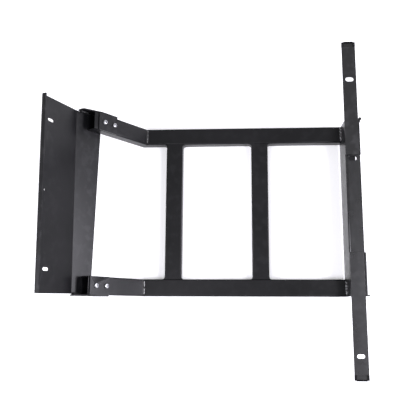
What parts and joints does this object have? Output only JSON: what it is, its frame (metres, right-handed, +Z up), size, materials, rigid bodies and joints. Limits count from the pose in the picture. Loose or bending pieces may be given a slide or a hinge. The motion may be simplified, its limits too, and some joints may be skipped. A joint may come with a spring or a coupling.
{
  "type": "van rear door ladder",
  "caption": "Black powder-coated steel ladder for a van's rear door, with a folded hook plate at the top and slotted mounting bars at the foot.",
  "frame": {"origin": "middle of the left mounting bar's free face, on its side towards the van", "axes": "+Z up along the rails, +Y towards the van, +X to the right of a person who faces the van"},
  "size_m": [0.789, 0.2883, 0.6945],
  "materials": {
    "powder_coat": "fine satin texture",
    "zinc_steel": "bright zinc",
    "black_plastic": "matt"
  },
  "bodies": {
    "root": {"left_rail": "powder_coat", "right_rail": "powder_coat", "left_upper_arm": "powder_coat", "right_upper_arm": "powder_coat", "upper_rung": "powder_coat", "lower_rung": "powder_coat", "cross_angle": "powder_coat", "left_gusset": "powder_coat", "right_gusset": "powder_coat", "left_mount_bar": "powder_coat", "right_mount_bar": "powder_coat", "left_clamp_strip": "powder_coat", "right_clamp_strip": "powder_coat", "left_bar_nuts": "zinc_steel", "right_bar_nuts": "zinc_steel", "left_end_cap": "black_plastic", "right_end_cap": "black_plastic", "hook_plate": "powder_coat", "left_bracket": "powder_coat", "right_bracket": "powder_coat", "left_bracket_bolts": "zinc_steel", "right_bracket_bolts": "zinc_steel", "left_bend_weld": "powder_coat", "right_bend_weld": "powder_coat", "left_foot_weld": "powder_coat", "right_foot_weld": "powder_coat"}
  },
  "joints": []
}
